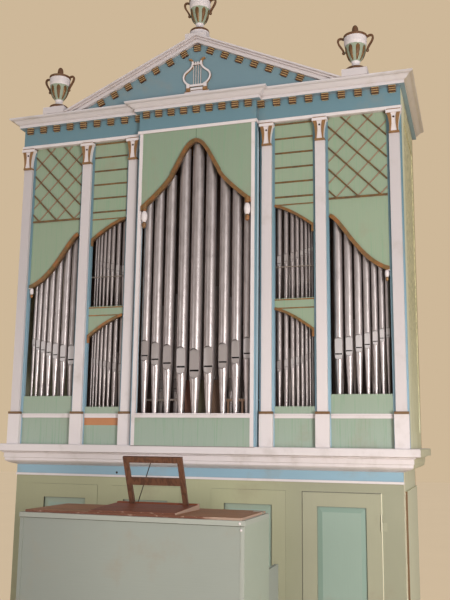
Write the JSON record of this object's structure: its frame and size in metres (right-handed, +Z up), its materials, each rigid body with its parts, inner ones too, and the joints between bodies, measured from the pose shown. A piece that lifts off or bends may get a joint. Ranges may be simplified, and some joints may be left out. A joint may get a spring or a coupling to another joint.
{
  "type": "pipe organ with detached console",
  "caption": "Painted wooden church pipe organ: panelled lower case, pipe bays between pilasters, pediment with urns and a lyre, detached console with bench.",
  "frame": {"origin": "On the floor, at the middle of the whole organ's footprint", "axes": "X to the viewer's right along the front, Y from the console back through the case, Z up"},
  "size_m": [3.296, 2.23, 5.176],
  "materials": {
    "olive_paint": "painted, satin",
    "sea_green_paint": "painted, satin",
    "pale_green_paint": "painted, satin",
    "blue_paint": "painted, satin",
    "white_paint": "painted, satin",
    "gold_paint": "gilt paint",
    "pipe_metal": "tin and lead alloy, satin",
    "pine": "bare",
    "grey_paint": "painted, satin",
    "brown_wood": "stained",
    "key_bone": "smooth",
    "hinge_steel": "dull"
  },
  "bodies": {
    "organ": {"lower_front": "olive_paint", "lower_panel_frames": "olive_paint", "lower_panels": "sea_green_paint", "hinge_leaves": "hinge_steel", "lower_side_walls": "olive_paint", "middle_cornice": "white_paint", "case_deck": "pine", "centre_bay_boards": "pale_green_paint", "centre_bay_posts": "white_paint", "centre_bay_cheeks": "blue_paint", "side_bay_boards": "pale_green_paint", "pilaster_backs": "blue_paint", "pilasters": "white_paint", "capitals": "white_paint", "upper_side_walls": "olive_paint", "back_wall": "pine", "white_beads": "white_paint", "friezes": "blue_paint", "gold_blocks": "gold_paint", "upper_cornice": "white_paint", "case_roof": "pine", "pediment_board": "blue_paint", "raking_cornice": "white_paint", "lyre": "white_paint", "urn_plinths": "white_paint", "urns": "white_paint", "arch_trims": "gold_paint", "lattices": "gold_paint", "gold_rods": "gold_paint", "centre_pipes": "pipe_metal", "outer_pipes": "pipe_metal", "inner_pipes": "pipe_metal", "back_pipes": "pipe_metal", "windchests": "pine", "console_case": "grey_paint", "console_lid": "brown_wood", "console_manuals": "key_bone", "pedalboard": "pine", "music_stand_base": "brown_wood", "music_stand": "brown_wood", "music_stand_prop": "hinge_steel", "bench": "grey_paint"},
    "door": {"door_frame": "olive_paint", "door_panel": "sea_green_paint", "door_leaves": "hinge_steel"}
  },
  "joints": [
    {"name": "door_hinge", "type": "hinge", "parent": "organ", "child": "door", "pos_m": [1.342, 0.0705, 0.6], "axis": [0, 0, 1], "range_deg": [0, 100]}
  ]
}
